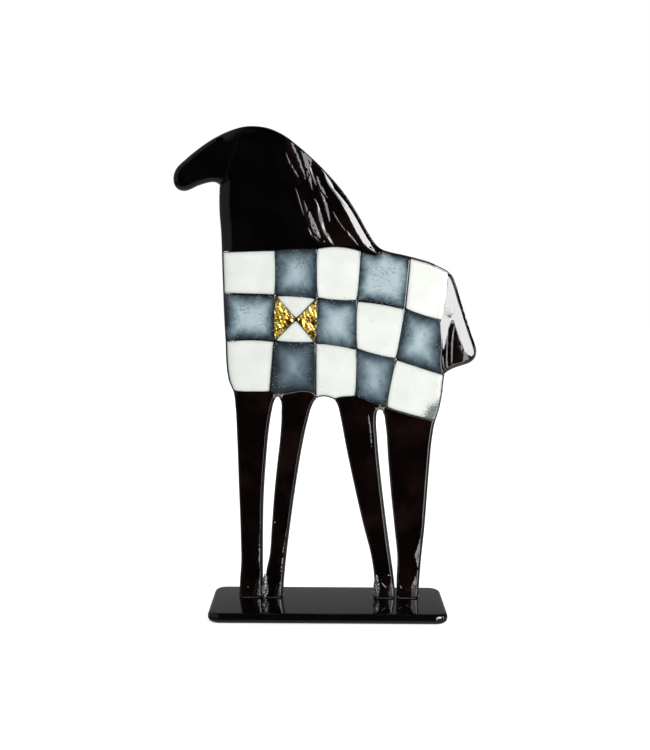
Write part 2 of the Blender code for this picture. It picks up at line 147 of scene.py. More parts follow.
STRAND_LIFT = 0.07  # of a strand's edge above the front
STRAND_REACH = 2.4  # how far in from its edge a strand's rise reaches
MANE_RISE = 0.08
TAIL_RISE = 0.0

# How light pieces are. In a grey tile it sets how far the pale middle spreads. The two white tiles
# above 1 are lightened as painted light, for the light that falls more strongly on them.
TONES_AND_PAINTED_LIGHT = {
    "tile_grey_row1_col2": 0.70,
    "tile_grey_row1_col4": 1.32,
    "tile_grey_row2_col1": 0.98,
    "tile_grey_row2_col3": 0.90,
    "tile_grey_row2_col5": 0.74,
    "tile_grey_row3_col2": 0.41,
    "tile_grey_row3_col4": 0.62,
    "tile_white_row1_col5": 1.07,
    "tile_white_row1_col3": 1.03,
    "inset_gold_right": 0.95,
}

WHITE_SLOT = "white_opal_glass"
GREY_SLOT = "grey_opal_glass"
BLACK_SLOT = "black_glass"
GOLD_SLOT = "gold_leaf"
ADHESIVE_SLOT = "clear_adhesive"


# ------------------------ outlines of CAD nodes

def flat_outline(node, y):
    """The outline of a node's flat face at one value of Y: X and Z points, anticlockwise."""
    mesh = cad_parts[node].data
    following = {}
    for polygon in mesh.polygons:
        corners = [mesh.vertices[i].co for i in polygon.vertices]
        if any(abs(c.y - y) > 0.02 * MM for c in corners):
            continue
        keys = [(round(c.x * 1e6), round(c.z * 1e6)) for c in corners]
        for a, b in zip(keys, keys[1:] + keys[:1]):
            if a in following.get(b, ()):
                following[b].remove(a)
            else:
                following.setdefault(a, []).append(b)
    start = next(a for a, ends in following.items() if ends)
    loop = [start]
    while True:
        after = following[loop[-1]].pop()
        if after == start:
            break
        loop.append(after)
    outline = np.array(loop) / 1000.0
    return outline if area(outline) > 0 else outline[::-1]


def area(outline):
    x, z = outline.T
    return float(np.sum(x * np.roll(z, -1) - np.roll(x, -1) * z)) / 2


def without_short_steps(outline, least):
    kept = [outline[0]]
    for point in outline[1:]:
        if np.linalg.norm(point - kept[-1]) > least:
            kept.append(point)
    if np.linalg.norm(kept[0] - kept[-1]) < least:
        kept.pop()
    return np.array(kept)


def directions(outline):
    runs = np.roll(outline, -1, axis=0) - outline
    lengths = np.linalg.norm(runs, axis=1)
    return runs / lengths[:, None], lengths


def corner_flags(outline):
    runs, _ = directions(outline)
    before = np.roll(runs, 1, axis=0)
    turn = np.arccos(np.clip(np.sum(before * runs, axis=1), -1, 1))
    return turn > CORNER_ANGLE


def round_corners(outline, radius):
    """Each sharp corner replaced by a short curve."""
    flags = corner_flags(outline)
    points = []
    for i, here in enumerate(outline):
        if not flags[i]:
            points.append(here)
            continue
        before = outline[i - 1]
        after = outline[(i + 1) % len(outline)]
        ends = []
        for other in (before, after):
            length = np.linalg.norm(other - here)
            ends.append(here + (other - here) * min(radius, 0.45 * length) / length)
        for t in (0.0, 0.25, 0.5, 0.75, 1.0):
            points.append(ends[0] * (1 - t) ** 2 + here * 2 * t * (1 - t) + ends[1] * t * t)
    return np.array(points)


def smoothed(outline, step):
    """Points along a smooth curve through an outline that keeps its sharp corners."""
    runs, lengths = directions(outline)
    flags = corner_flags(outline)
    count = len(outline)
    slopes = []
    for i in range(count):
        before, after = lengths[i - 1], lengths[i]
        slopes.append((runs[i - 1] * after + runs[i] * before) / (before + after))
    points = []
    for i in range(count):
        j = (i + 1) % count
        leave, arrive = slopes[i], slopes[j]
        if flags[i]:
            leave = runs[i] if flags[j] else runs[i] * 2 - slopes[j]
        if flags[j]:
            arrive = runs[i] if flags[i] else runs[i] * 2 - slopes[i]
        if lengths[i] > STRAIGHT_SIDE:
            leave = arrive = runs[i]
        pieces = max(1, math.ceil(lengths[i] / step))
        for k in range(pieces):
            t = k / pieces
            points.append(outline[i] * (2 * t ** 3 - 3 * t ** 2 + 1)
                          + leave * lengths[i] * (t ** 3 - 2 * t ** 2 + t)
                          + outline[j] * (3 * t ** 2 - 2 * t ** 3)
                          + arrive * lengths[i] * (t ** 3 - t ** 2))
    return np.array(points)


def fine_outline(node, radius):
    """A node's outline where it meets the other layer, smoothed and with rounded corners."""
    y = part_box(node)[0 if node.endswith("_back") else 1][1]
    outline = without_short_steps(flat_outline(node, y), SHORT_STEP)
    if radius:
        outline = round_corners(outline, radius)
    return smoothed(outline, OUTLINE_STEP)


# ------------------------ distances and fills

def segments_of(outline):
    return np.hstack([outline, np.roll(outline, -1, axis=0)])


def distance(points, segments):
    """The least distance from each point to any of the segments."""
    least = np.full(len(points), 1e6)
    for start in range(0, len(points), 1500):
        part = points[start:start + 1500, None, :]
        a = segments[None, :, :2]
        run = segments[None, :, 2:] - a
        share = np.sum((part - a) * run, axis=2) / np.maximum(np.sum(run * run, axis=2), 1e-12)
        nearest = a + run * np.clip(share, 0, 1)[:, :, None]
        gaps = np.sum((part - nearest) ** 2, axis=2)
        least[start:start + 1500] = np.sqrt(gaps.min(axis=1))
    return least


def inside(points, outline):
    crossings = np.zeros(len(points), dtype=int)
    for (ax, az), (bx, bz) in zip(outline, np.roll(outline, -1, axis=0)):
        if az == bz:
            continue
        straddles = (az > points[:, 1]) != (bz > points[:, 1])
        x = ax + (points[:, 1] - az) * (bx - ax) / (bz - az)
        crossings += straddles & (points[:, 0] < x)
    return crossings % 2 == 1


def ring(outline, gap):
    """The outline moved inwards by a gap, without the points that come too near it elsewhere."""
    runs, _ = directions(outline)
    middle = runs + np.roll(runs, 1, axis=0)
    middle /= np.linalg.norm(middle, axis=1)[:, None]
    moved = outline + np.column_stack([-middle[:, 1], middle[:, 0]]) * gap
    kept = moved[distance(moved, segments_of(outline)) > 0.92 * gap]
    return kept[inside(kept, outline)] if len(kept) else kept


def thinned(points, least):
    """Points with near neighbours dropped, using a coarse grid of cells."""
    taken = {}
    kept = []
    for point in points:
        cell = (int(point[0] // least), int(point[1] // least))
        near = [taken.get((cell[0] + i, cell[1] + j)) for i in (-1, 0, 1) for j in (-1, 0, 1)]
        if any(n is not None and abs(n[0] - point[0]) < least and abs(n[1] - point[1]) < least
               for n in near):
            continue
        taken[cell] = point
        kept.append(point)
    return kept


def even_grid(low, high, step):
    rows = []
    for number, z in enumerate(np.arange(low[1], high[1], step * 0.866)):
        x = np.arange(low[0] + (number % 2) * step / 2, high[0], step)
        rows.append(np.column_stack([x, np.full(len(x), z)]))
    return np.vstack(rows)


def fill(outline, rings, step, fine_part=None):
    """Points and triangles that fill an outline: rings near its edge, then an even grid.

    fine_part is the lowest and the highest X and Z of a part that has a finer grid.
    """
    segments = segments_of(outline)
    extra = []
    for gap in rings:
        extra.extend(thinned(ring(outline, gap), 0.5 * OUTLINE_STEP))
    low, high = outline.min(axis=0), outline.max(axis=0)
    grid = even_grid(low, high, step)
    if fine_part is not None:
        start = np.maximum(low, fine_part[0])
        end = np.minimum(high, fine_part[1])
        coarse = grid[np.any((grid < start) | (grid > end), axis=1)]
        grid = np.vstack([coarse, even_grid(start, end, FINE_STEP)])
    grid = grid[inside(grid, outline)]
    if len(grid):
        grid = grid[distance(grid, segments) > rings[-1] + 0.5 * step]
    points = [Vector(p) for p in outline] + [Vector(p) for p in extra] + [Vector(p) for p in grid]
    count = len(outline)
    sides = [(i, (i + 1) % count) for i in range(count)]
    corners, _, faces, origins, _, _ = delaunay_2d_cdt(points, sides, [], 0, 0.0001, True)
    corners = np.array([tuple(c) for c in corners])
    triangles = np.array([tuple(t) for t in faces])
    triangles = triangles[inside(corners[triangles].mean(axis=1), outline)]
    place = {source: i for i, sources in enumerate(origins) for source in sources}
    border = [place[i] for i in range(count)]
    return corners, [tuple(t) for t in triangles.tolist()], border


def relaxed(heights, triangles, fixed):
    """Heights evened out between neighbours, except at fixed points."""
    tri = np.array(triangles)
    a = np.concatenate([tri[:, 0], tri[:, 1], tri[:, 2]])
    b = np.concatenate([tri[:, 1], tri[:, 2], tri[:, 0]])
    count = np.bincount(a, minlength=len(heights)) + np.bincount(b, minlength=len(heights))
    for _ in range(RELAXING_ROUNDS):
        total = (np.bincount(a, heights[b], len(heights))
                 + np.bincount(b, heights[a], len(heights)))
        heights = np.where(fixed, heights, 0.4 * heights + 0.6 * total / np.maximum(count, 1))
    return heights


# ------------------------ heights of the slab

BACK_NODES = [node for node in sorted(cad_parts) if node.endswith("_back")]


def silhouette():
    """Segments of the whole horse's outline, without the soles and the back layer's joints."""
    outlines = {n: fine_outline(n, 0) for n in BACK_NODES}
    kept = []
    for node, outline in outlines.items():
        own = segments_of(outline)
        middles = (own[:, :2] + own[:, 2:]) / 2
        others = np.vstack([segments_of(o) for n, o in outlines.items() if n != node])
        free = (distance(middles, others) > 0.45) & (middles[:, 1] > PLATE_TOP + 0.5)
        kept.append(own[free])
    return np.vstack(kept)


OUTER_EDGE = silhouette()


def edge_distance(points):
    """How far points are from the horse's outline, worked out from the part of it near them."""
    reach = 14
    low, high = points.min(axis=0) - reach, points.max(axis=0) + reach
    middles = (OUTER_EDGE[:, :2] + OUTER_EDGE[:, 2:]) / 2
    near = np.all((middles > low) & (middles < high), axis=1)
    if not near.any():
        return np.full(len(points), float(reach))
    return distance(points, OUTER_EDGE[near])


def quarter_round(gap, reach):
    """0 at an edge to 1 at a distance in from it, along a quarter of an ellipse."""
    t = np.clip(gap / reach, 0, 1)
    return np.sqrt(np.clip(1 - (1 - t) ** 2, 0, 1))


def ripple(points):
    """The slight waviness of fired glass, in millimetres."""
    x, z = points.T
    return (0.035 * np.sin(x / 6.1 + 0.9 * np.sin(z / 9.3)) * np.sin(z / 7.7 + 1.3)
            + 0.02 * np.sin(x / 2.9 + z / 3.7 + 0.6))


def smooth_step(value, low, high):
    t = np.clip((value - low) / (high - low), 0, 1)
    return t * t * (3 - 2 * t)


def tail_share(points):
    """1 in the tail and 0 outside it."""
    x, z = points.T
    return smooth_step(x, *TAIL_FROM_X) * smooth_step(z, *TAIL_FROM_Z)


def at_height(z, line):
    """X at heights z of a line whose points are given from its foot up."""
    x, heights = np.array(line).T
    return np.interp(z, heights, x)


def tail_slope(points):
    """How far the tail slopes back. It is level left of its start and almost so in its hollow."""
    x, z = points.T
    start = at_height(z, TAIL_START)
    hollow_left = at_height(z, HOLLOW_LEFT)
    hollow_right = at_height(z, HOLLOW_RIGHT)
    left = np.clip(x, start, hollow_left) - start
    hollow = np.clip(x, hollow_left, hollow_right) - hollow_left
    right = np.maximum(x - hollow_right, 0)
    hollow_slope = HOLLOW_SLOPE + (TAIL_SLOPE - HOLLOW_SLOPE) * smooth_step(z, *HOLLOW_TOP_Z)
    lobe = smooth_step(z + LOBE_FOOT_RISE * right, *LOBE_FOOT_Z)
    right_slope = TIP_SLOPE + (TAIL_SLOPE - TIP_SLOPE) * lobe
    total = TAIL_SLOPE * left + hollow_slope * hollow + right_slope * right
    total = np.minimum(total, MOST_SLOPED)
    return total * smooth_step(z, *SLOPE_FROM_Z)


def rounding(points):
    """How far in from the outline the front is rounded."""
    x, z = points.T
    body = LEG_ROUND + (BODY_ROUND - LEG_ROUND) * smooth_step(z, *BODY_FROM_Z)
    mane = MANE_ROUND + (body - MANE_ROUND) * smooth_step(-x, *CHEST_LEFT_OF)
    body = np.where(z > MANE_ABOVE_Z, mane, body)
    crest = smooth_step(z, *CREST_FROM_Z) * smooth_step(x, *CREST_FROM_X)
    head = smooth_step(-x, *HEAD_LEFT_OF) * smooth_step(z, *HEAD_FROM_Z)
    rump = smooth_step(x, *RUMP_FROM_X) * smooth_step(z, *RUMP_FROM_Z)
    rump = np.maximum(rump, smooth_step(x, *TAIL_SIDE_FROM_X))
    thin = np.minimum(THIN_ROUND, body)
    reach = body + (thin - body) * np.maximum(np.maximum(crest, head), rump)
    mane_top = smooth_step(x, *MANE_TOP_FROM_X) * smooth_step(z, *MANE_TOP_FROM_Z)
    return reach + (MANE_TOP_ROUND - reach) * mane_top


def front_level(points):
    """Y of the front: flat, sloping back in the tail, and rounded at the outline."""
    gap = edge_distance(points)
    tail = tail_share(points)
    slope = tail_slope(points)
    rounded = 1 - quarter_round(gap, rounding(points))
    chamfered = (1 - np.clip(gap / TAIL_ROUND, 0, 1)) ** 1.2
    edge = rounded + (chamfered - rounded) * tail
    return FRONT_Y + slope + (WIDEST_Y - FRONT_Y - slope) * edge - folds(points)


# Folds of the mane and the tail, where strands of glass have sunk together. Each has a line from
# its top, a half width at the top and at the foot, and the slope of the side that faces right.
MANE_FOLDS = [
    ([(-28.6, 292.8), (-25.2, 284.3), (-21.9, 279.5), (-17.2, 269.9)], 0.5, 0.5, 0.28),
    ([(-22.4, 271.5), (-18.5, 259.1), (-16.0, 250.5)], 0.45, 0.4, 0.26),
    ([(-28.5, 305.0), (-24.6, 297.9), (-22.2, 292.4), (-20.0, 287.3), (-17.8, 281.0),
      (-15.0, 273.0)], 1.5, 0.9, 0.18),
    ([(-20.0, 299.0), (-15.6, 291.0), (-14.2, 286.0), (-13.8, 281.0), (-12.6, 274.5),
      (-11.0, 266.5)], 4.2, 0.4, 0.18),
    ([(-12.6, 281.8), (-8.7, 270.0)], 0.7, 0.6, 0.19),
    ([(-8.7, 277.5), (-5.5, 269.4), (-0.8, 262.6)], 1.2, 0.9, 0.20),
    ([(-7.2, 270.1), (-2.7, 259.2), (-0.2, 248.0)], 0.7, 1.0, 0.20),
    ([(-16.9, 262.1), (-12.0, 250.8), (-9.4, 244.0), (-6.2, 238.2)], 0.7, 2.1, 0.20),
    ([(-14.0, 245.4), (-12.0, 240.8), (-8.0, 237.6), (-2.0, 235.8)], 0.5, 0.6, 0.34),
    ([(-10.8, 264.3), (-7.9, 259.1), (-6.0, 250.5), (-3.8, 242.8), (2.5, 233.6)], 0.8, 1.5, 0.21),
    ([(1.0, 256.2), (6.2, 247.3), (10.7, 241.6)], 0.5, 0.5, 0.24),
    ([(9.8, 243.6), (13.8, 238.5), (18.5, 233.4)], 0.6, 0.6, 0.24),
    ([(6.0, 261.5), (11.3, 253.6), (16.8, 243.5), (21.8, 235.6), (28.5, 229.5)],
     0.6, 1.5, 0.23),
]
TAIL_FOLDS = [
    ([(75.0, 180.0), (74.4, 170.5), (74.1, 162.0), (75.6, 151.0)], 0.4, 0.6, 0.12),
    ([(78.9, 183.5), (77.6, 172.9), (77.4, 159.0)], 0.55, 0.5, 0.12),
    ([(71.6, 167.0), (72.2, 160.0), (74.0, 152.0)], 0.4, 0.4, 0.12),
]
# Ribbons of light down the legs' right sides, ripples of the feet, and a crease high on a leg.
LEG_FOLDS = [
    ([(25.0, 127.5), (26.4, 115.0), (27.5, 101.0)], 0.5, 0.5, 0.28),
    ([(-43.6, 22.5), (-44.7, 13.6), (-45.2, 3.0)], 0.5, 2.9, 0.21),
    ([(-42.8, 58.0), (-44.1, 45.3), (-45.4, 35.8), (-43.8, 24.5)], 0.6, 1.1, 0.21),
    ([(-25.0, 58.5), (-27.0, 48.5), (-28.6, 40.6), (-30.3, 31.1), (-30.1, 18.1)], 0.6, 1.4, 0.20),
    ([(-29.8, 21.5), (-31.4, 13.0), (-32.0, 3.0)], 0.6, 2.4, 0.20),
    ([(42.0, 22.5), (41.0, 14.0), (40.2, 3.0)], 0.5, 2.8, 0.12),
    ([(32.2, 23.8), (34.4, 17.0), (38.0, 13.3), (41.4, 15.9)], 0.4, 0.5, 0.28),
    ([(62.0, 60.5), (60.2, 47.5), (58.2, 41.2), (56.7, 34.9), (57.6, 28.5), (60.0, 25.2)],
     0.7, 1.2, 0.12),
    ([(56.4, 23.5), (55.7, 14.0), (55.1, 3.0)], 0.5, 2.8, 0.12),
    ([(45.0, 18.0), (47.3, 13.4), (51.2, 12.3), (54.7, 14.2)], 0.5, 0.5, 0.28),
    ([(-55.3, 16.5), (-51.1, 12.8), (-46.6, 13.0)], 0.5, 0.5, 0.30),
]
FOLDS = MANE_FOLDS + TAIL_FOLDS + LEG_FOLDS
CORNER_SHADE = (14.0, 19.0)  # how far the last tile's dark corner reaches, across and up
# Parts with a finer grid, as their lowest and highest X and Z.
FINE_PARTS = {
    "neck_front": ((-33, 232), (60, 320)),
    "hindleg_leading_front": ((20, 0), (50, 132)),
}
FINE_FEET = ((-80, 0), (80, 62))  # the other legs'


def along(points, line):
    """For each point, its share of the way along a line and how far it is to the right of it."""
    line = np.array(line, dtype=float)
    runs = line[1:] - line[:-1]
    lengths = np.linalg.norm(runs, axis=1)
    starts = np.concatenate([[0], np.cumsum(lengths)[:-1]])
    nearest = np.full(len(points), 1e6)
    share = np.zeros(len(points))
    offset = np.zeros(len(points))
    for here, run, length, start in zip(line, runs, lengths, starts):
        away = points - here
        t = np.clip(away @ run / length ** 2, 0, 1)
        gap = np.linalg.norm(away - t[:, None] * run, axis=1)
        side = np.sign(run[0] * away[:, 1] - run[1] * away[:, 0])
        closer = gap < nearest
        nearest = np.where(closer, gap, nearest)
        share = np.where(closer, (start + t * length) / lengths.sum(), share)
        offset = np.where(closer, gap * side, offset)
    return share, offset


def folds(points):
    """How far the folds stand out of the front, in millimetres."""
    x, z = points.T
    uneven = 0.13 * np.sin(x * 1.6 + 1.1 * np.sin(z * 0.9)) + 0.07 * np.sin(z * 2.3 + x)
    total = np.zeros(len(points))
    for line, top_width, foot_width, slope in FOLDS:
        lowest = np.min(line, axis=0) - 6
        highest = np.max(line, axis=0) + 6
        near = np.all((points > lowest) & (points < highest), axis=1)
        if not near.any():
            continue
        share, offset = along(points[near], line)
        taper = np.clip(np.sin(np.pi * share), 0, 1) ** 0.45
        width = np.maximum((top_width + (foot_width - top_width) * share) * taper, 1e-3)
        across = (offset + uneven[near] * np.minimum(width, 1)) / width
        height = np.where(across > -1, 1 - across, 2 * (across + 1.5) / 0.5)
        total[near] += slope * width * np.clip(height, 0, 2)
    return total


def back_level(points):
    gap = edge_distance(points)
    return WIDEST_Y + 0.02 + (BACK_Y - WIDEST_Y - 0.02) * quarter_round(gap, BACK_ROUND)


# ------------------------ making meshes

def solid_mesh(name, front_fill, front, back_fill, back, smooth_border=None):
    """A closed mesh from a front and a back fill of one outline, and a wall round them."""
    points, triangles, border = front_fill
    back_points, back_triangles, back_border = back_fill
    count = len(points)
    corners = np.vstack([np.column_stack([points[:, 0], front, points[:, 1]]),
                         np.column_stack([back_points[:, 0], back, back_points[:, 1]])]) * MM
    faces = [tuple(t) for t in triangles]
    faces += [tuple(i + count for i in reversed(t)) for t in back_triangles]
    front_pairs = list(zip(border, border[1:] + border[:1]))
    back_border = [i + count for i in back_border]
    back_pairs = list(zip(back_border, back_border[1:] + back_border[:1]))
    faces += [(j, i, k, m) for (i, j), (k, m) in zip(front_pairs, back_pairs)]
    mesh = bpy.data.meshes.new(name)
    mesh.from_pydata(corners.tolist(), [], faces)
    mesh.update()
    mesh.shade_smooth()
    sharp = set()
    for (i, j), pair in zip(front_pairs, back_pairs):
        if smooth_border is not None and smooth_border[i] and smooth_border[j]:
            continue
        sharp.add(frozenset((i, j)))
        sharp.add(frozenset(pair))
    flags = mesh.attributes.new("sharp_edge", "BOOLEAN", "EDGE")
    flags.data.foreach_set("value", [frozenset(e.vertices) in sharp for e in mesh.edges])
    return mesh


def mesh_from(work, name):
    """A smooth mesh from a bmesh, which is freed."""
    mesh = bpy.data.meshes.new(name)
    work.to_mesh(mesh)
    work.free()
    mesh.shade_smooth()
    return mesh


def store(mesh, name, values):
    """Values for the front's points, kept on the mesh for its material. The rest get 0."""
    kept = np.zeros(len(mesh.vertices), dtype=np.float32)
    kept[:len(values)] = values
    attribute = mesh.attributes.new(name, "FLOAT", "POINT")
    attribute.data.foreach_set("value", kept)


def add_piece(mesh, material, slot, *nodes):
    piece = bpy.data.objects.new(mesh.name, mesh)
    bpy.context.scene.collection.objects.link(piece)
    mesh.materials.append(material)
    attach(piece, "root")
    if nodes:
        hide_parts(*nodes)


def lowered_soles(outline):
    """The outline with its soles brought down into the film of adhesive on the plate."""
    moved = outline.copy()
    moved[moved[:, 1] < PLATE_TOP + 0.4, 1] = SOLE_Z
    return moved


def dark_sides(node, outline):
    """The sides of a piece along which its seam shows dark."""
    segments = segments_of(outline)
    x, z = (segments[:, :2] + segments[:, 2:]).T / 2
    # High on its side by the tail, the last white tile's seam is left without its dark line and
    # groove: the tile stays white up to the seam, a painted highlight that lies over the seam.
    if node == "tile_white_row1_col5":
        return segments[(x < 66) | ((x < 69.5) & (z < 189))]
    if node == "tail_front":
        return segments[(z < 187) | (edge_distance(np.column_stack([x, z])) < 0.4)]
    return segments


def corner_speckle_and_painted_rim(node, points, outline):
    """1 where a piece's colour changes: in the last tile's thin, speckled corner, and in a pale line
    atop the second leg that is a painted reflection.
    """
    z = points[:, 1]
    if node == "tile_white_row3_col5":
        corner = outline[np.argmax(outline[:, 0] - outline[:, 1])]
        away = np.hypot(*((points - corner) / CORNER_SHADE).T)
        outer = np.exp(-edge_distance(points) / 1.6) * smooth_step(-z, -160, -140)
        return (1.35 * (1 - smooth_step(away, 0.0, 1.0)) + outer).clip(0, 1)
    # A pale line along the top of the second leg: a painted reflection.
    if node == "foreleg_trailing_front":
        near_edge = smooth_step(-distance(points, segments_of(outline)), -0.8, -0.3)
        return near_edge * smooth_step(z, 138, 139)
    return np.zeros(len(points))


def front_glass(node, material, slot, corner=FRONT_CORNER, relief=None):
    """A piece of the front layer, rounded at the horse's outline and grooved at its seams."""
    outline = lowered_soles(fine_outline(node, corner))
    fine_part = FINE_PARTS.get(node, FINE_FEET if "leg" in node else None)
    step = FINE_STEP if relief or node == "tail_front" else GRID_STEP
    filled = fill(outline, FRONT_RINGS, step, fine_part)
    points = filled[0]
    own = distance(points, dark_sides(node, outline))
    front = front_level(points) + ripple(points)
    groove = FAINT_GROOVE if node in FAINTLY_GROOVED else SEAM_GROOVE
    front += groove * (1 - quarter_round(own, SEAM_REACH))
    if relief:
        front -= relief(points)
    flat = fill(outline, (2.0,), 9.0)
    mesh = solid_mesh(node + "_glass", filled, front, flat, np.full(len(flat[0]), LAYER_Y))
    store(mesh, "edge", own)
    store(mesh, "tone", np.full(len(own), TONES_AND_PAINTED_LIGHT.get(node, 1.0)))
    store(mesh, "shade", corner_speckle_and_painted_rim(node, points, outline))
    add_piece(mesh, material, slot, node)


def crumple(points):
    """Sharp creases of gold leaf, in millimetres."""
    random = np.random.default_rng(7)
    total = np.zeros(len(points))
    for _ in range(9):
        angle = random.uniform(0, math.pi)
        wave = random.uniform(2.2, 6.5)
        shift = random.uniform(0, 1)
        along_wave = points @ np.array([math.cos(angle), math.sin(angle)]) / wave + shift
        bent = along_wave + 0.25 * np.sin(points[:, 0] * 1.3 + points[:, 1] * 0.9 + 6 * shift)
        total += wave * 0.035 * np.abs(2 * (bent % 1.0) - 1)
    return total - 0.25


def back_glass(node, material):
    """A piece of the back layer. Its rim carries on the front layer's rounding."""
    outline = lowered_soles(fine_outline(node, BACK_CORNER))
    rim = fill(outline, RIM_RINGS, 7.0)
    gap = edge_distance(rim[0])
    level = front_level(rim[0]) + ripple(rim[0])
    front = np.minimum(np.where(gap <= LEDGE + 0.08, level, LAYER_Y + 0.05), BACK_Y - 1)
    rear = fill(outline, BACK_RINGS, 3.0)
    own = distance(rear[0], segments_of(outline))
    inner = edge_distance(rear[0]) > 1
    back = back_level(rear[0]) - SEAM_GROOVE * (1 - quarter_round(own, 0.8)) * inner
    mesh = solid_mesh(node + "_glass", rim, front, rear, back, gap < 0.25)
    add_piece(mesh, material, BLACK_SLOT, node)


def strand(node, material, height):
    """A raised strand, sunk almost level with the rounded front of the glass under it."""
    outline = fine_outline(node, STRAND_CORNER)
    filled = fill(outline, STRAND_RINGS, FINE_STEP)
    points, triangles, border = filled
    own = distance(points, segments_of(outline))
    rise = STRAND_LIFT + height * smooth_step(own, 0, STRAND_REACH)
    fixed = np.zeros(len(points), dtype=bool)
    fixed[border] = True
    rise = relaxed(rise, triangles, fixed)
    level = front_level(points) + ripple(points)
    under = fill(outline, (1.0,), 3.0)
    back = front_level(under[0]) + 0.3
    mesh = solid_mesh(node + "_glass", filled, level - rise, under, back)
    add_piece(mesh, material, BLACK_SLOT, node)


# ------------------------ materials

class Nodes:
    """Short ways to add nodes to a tree of shader nodes."""

    def __init__(self, tree):
        self.tree = tree

    def node(self, kind, **settings):
        made = self.tree.nodes.new(kind)
        for key, value in settings.items():
            setattr(made, key, value)
        return made

    def feed(self, socket, value):
        if isinstance(value, bpy.types.NodeSocket):
            self.tree.links.new(value, socket)
        else:
            socket.default_value = value

    def math(self, operation, first, second=0.0):
        made = self.node("ShaderNodeMath", operation=operation)
        self.feed(made.inputs[0], first)
        self.feed(made.inputs[1], second)
        return made.outputs[0]

    def between(self, value, low, high):
        """0 below low to 1 above high."""
        made = self.node("ShaderNodeMapRange", interpolation_type="SMOOTHSTEP")
        self.feed(made.inputs["Value"], value)
        made.inputs["From Min"].default_value = low
        made.inputs["From Max"].default_value = high
        return made.outputs["Result"]

    def background(self, grey, strength):
        made = self.node("ShaderNodeBackground")
        made.inputs["Color"].default_value = colour(grey, grey, grey)
        self.feed(made.inputs["Strength"], strength)
        return made.outputs[0]


class Look(Nodes):
    """A material with a Principled shader."""

    def __init__(self, name):
        self.material = bpy.data.materials.new(name)
        self.material.use_nodes = True
        super().__init__(self.material.node_tree)
        self.shader = self.tree.nodes["Principled BSDF"]
        self.place = self.node("ShaderNodeTexCoord").outputs["Object"]

    def set(self, name, value):
        self.feed(self.shader.inputs[name], value)

    def noise(self, scale, detail=2.0, roughness=0.5, distortion=0.0):
        made = self.node("ShaderNodeTexNoise")
        self.feed(made.inputs["Vector"], self.place)
        made.inputs["Scale"].default_value = scale
        made.inputs["Detail"].default_value = detail
        made.inputs["Roughness"].default_value = roughness
        made.inputs["Distortion"].default_value = distortion
        return made.outputs["Fac"]

    def cells(self, scale):
        """How far a place is from the middle of its cell, and a random value for each cell."""
        made = self.node("ShaderNodeTexVoronoi")
        self.feed(made.inputs["Vector"], self.place)
        made.inputs["Scale"].default_value = scale
        values = self.node("ShaderNodeSeparateColor")
        self.feed(values.inputs[0], made.outputs["Color"])
        return made.outputs["Distance"], values.outputs[0]

    def attribute(self, name):
        return self.node("ShaderNodeAttribute", attribute_name=name).outputs["Fac"]

    def mix(self, share, first, second, blend="MIX"):
        made = self.node("ShaderNodeMix", data_type="RGBA", blend_type=blend)
        self.feed(made.inputs["Factor"], share)
        self.feed(made.inputs[6], first)
        self.feed(made.inputs[7], second)
        return made.outputs[2]

    def rough(self, scale, least, spread):
        """Roughness that varies over the surface."""
        varied = self.math("MULTIPLY", self.noise(scale), spread)
        self.set("Roughness", self.math("ADD", varied, least))

    def ramp(self, value, stops):
        made = self.node("ShaderNodeValToRGB")
        self.feed(made.inputs["Fac"], value)
        elements = made.color_ramp.elements
        while len(elements) < len(stops):
            elements.new(1.0)
        for element, (position, shade) in zip(elements, stops):
            element.position = position
            element.color = (*shade, 1.0)
        return made.outputs["Color"]

    def bump(self, height, strength, depth):
        made = self.node("ShaderNodeBump")
        made.inputs["Strength"].default_value = strength
        made.inputs["Distance"].default_value = depth
        self.feed(made.inputs["Height"], height)
        self.set("Normal", made.outputs["Normal"])


def colour(r, g, b):
    return (r, g, b, 1.0)


def black_glass(name, dark, light):
    look = Look(name)
    cloud = look.noise(45, 3.0, 0.55)
    tint = look.mix(look.between(cloud, 0.4, 0.7), dark, light)
    # Where the shade attribute is 1, atop the second leg, the pale colour is a painted reflection.
    look.set("Base Color", look.mix(look.attribute("shade"), tint, colour(0.12, 0.105, 0.10)))
    look.rough(220, 0.02, 0.03)
    look.set("IOR", 1.52)
    look.bump(look.noise(260, 2.0), 0.25, 0.00004)
    return look.material


def back_face_glass():
    look = Look("black_glass_satin_back")
    fibres = look.noise(900, 4.0, 0.6)
    cloud = look.noise(60, 3.0)
    look.set("Base Color", look.mix(cloud, colour(0.004, 0.003, 0.004),
                                    colour(0.012, 0.009, 0.010)))
    facing_back = look.node("ShaderNodeSeparateXYZ")
    look.feed(facing_back.inputs[0], look.node("ShaderNodeNewGeometry").outputs["Normal"])
    satin = look.between(facing_back.outputs["Y"], 0.75, 0.98)
    rough = look.math("MULTIPLY", satin, look.math("ADD", look.math("MULTIPLY", cloud, 0.2), 0.3))
    look.set("Roughness", look.math("ADD", rough, 0.04))
    look.set("IOR", 1.52)
    look.bump(look.math("MULTIPLY", fibres, satin), 0.5, 0.00012)
    return look.material


def plate_glass():
    look = Look("plate_glass")
    look.set("Base Color", look.mix(look.noise(30), colour(0.002, 0.0018, 0.002),
                                    colour(0.004, 0.003, 0.004)))
    look.rough(90, 0.015, 0.02)
    look.set("IOR", 1.52)
    look.bump(look.noise(70, 1.0), 0.2, 0.00003)
    return look.material


def bubble_marks(look, scale, size, share):
    """Small round marks in a share of a cell pattern's cells: 1 inside a mark, 0 outside."""
    away, chance = look.cells(scale)
    inside_mark = look.math("SUBTRACT", 1.0, look.between(away, size * 0.6, size))
    return look.math("MULTIPLY", inside_mark, look.math("LESS_THAN", chance, share))


